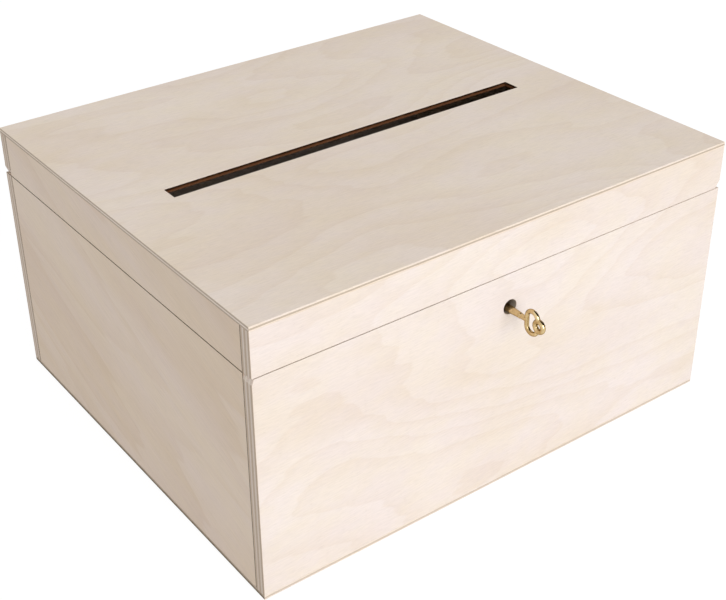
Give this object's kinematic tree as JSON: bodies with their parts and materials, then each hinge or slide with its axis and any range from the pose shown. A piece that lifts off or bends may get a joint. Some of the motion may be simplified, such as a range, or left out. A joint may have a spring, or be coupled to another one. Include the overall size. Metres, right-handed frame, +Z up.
{
  "type": "wedding card box",
  "caption": "Plain birch plywood box with a hinged lid, a long card slot in the top, a box lock in the front and a brass key with an open bow.",
  "frame": {"origin": "centre of the underside of the base", "axes": "+X to the right along the front, +Y from the front to the hinged back, +Z up"},
  "size_m": [0.29, 0.2767, 0.15],
  "materials": {
    "birch_plywood": "pale, unfinished, finely sanded birch plywood with dark and light plies at the edges",
    "hinge_brass": "brass-plated, satin",
    "lock_steel": "bright zinc-plated sheet steel",
    "bolt_brass": "satin brass plate",
    "spring_steel": "blued spring steel",
    "key_brass": "cast and plated pale brass, glossy, darker in the hollows"
  },
  "bodies": {
    "base": {"bottom_panel": "birch_plywood", "front_board": "birch_plywood", "back_board": "birch_plywood", "left_board": "birch_plywood", "right_board": "birch_plywood", "left_hinge_base_leaf": "hinge_brass", "right_hinge_base_leaf": "hinge_brass", "left_hinge_pin": "hinge_brass", "right_hinge_pin": "hinge_brass", "base_hinge_screws": "hinge_brass", "lock_face_plate": "lock_steel", "lock_case": "lock_steel", "drill_pin": "lock_steel", "bolt_guide_studs": "lock_steel", "lock_screws": "lock_steel"},
    "lid": {"lid_panel": "birch_plywood", "lid_front_rail": "birch_plywood", "lid_back_rail": "birch_plywood", "lid_left_rail": "birch_plywood", "lid_right_rail": "birch_plywood", "left_hinge_lid_leaf": "hinge_brass", "right_hinge_lid_leaf": "hinge_brass", "lid_hinge_screws": "hinge_brass", "strike_plate": "lock_steel", "strike_screws": "lock_steel"},
    "key": {"key": "key_brass"},
    "bolt": {"lock_bolt": "bolt_brass", "bolt_spring": "spring_steel"}
  },
  "joints": [
    {"name": "lid_hinge", "type": "hinge", "parent": "base", "child": "lid", "pos_m": [0, 0.12655, 0.124], "axis": [-1, 0, 0], "range_deg": [0, 180]},
    {"name": "key_turn", "type": "hinge", "parent": "base", "child": "key", "pos_m": [0, -0.1245, 0.1039], "axis": [0, 1, 0], "range_deg": [0, 48]},
    {"name": "bolt_slide", "type": "slide", "parent": "base", "child": "bolt", "axis": [1, 0, 0], "range_m": [0, 0.0034]}
  ],
  "couplings": [
    {"joint": "key_turn", "follows": "bolt_slide", "rad_per_m": 246.39}
  ]
}
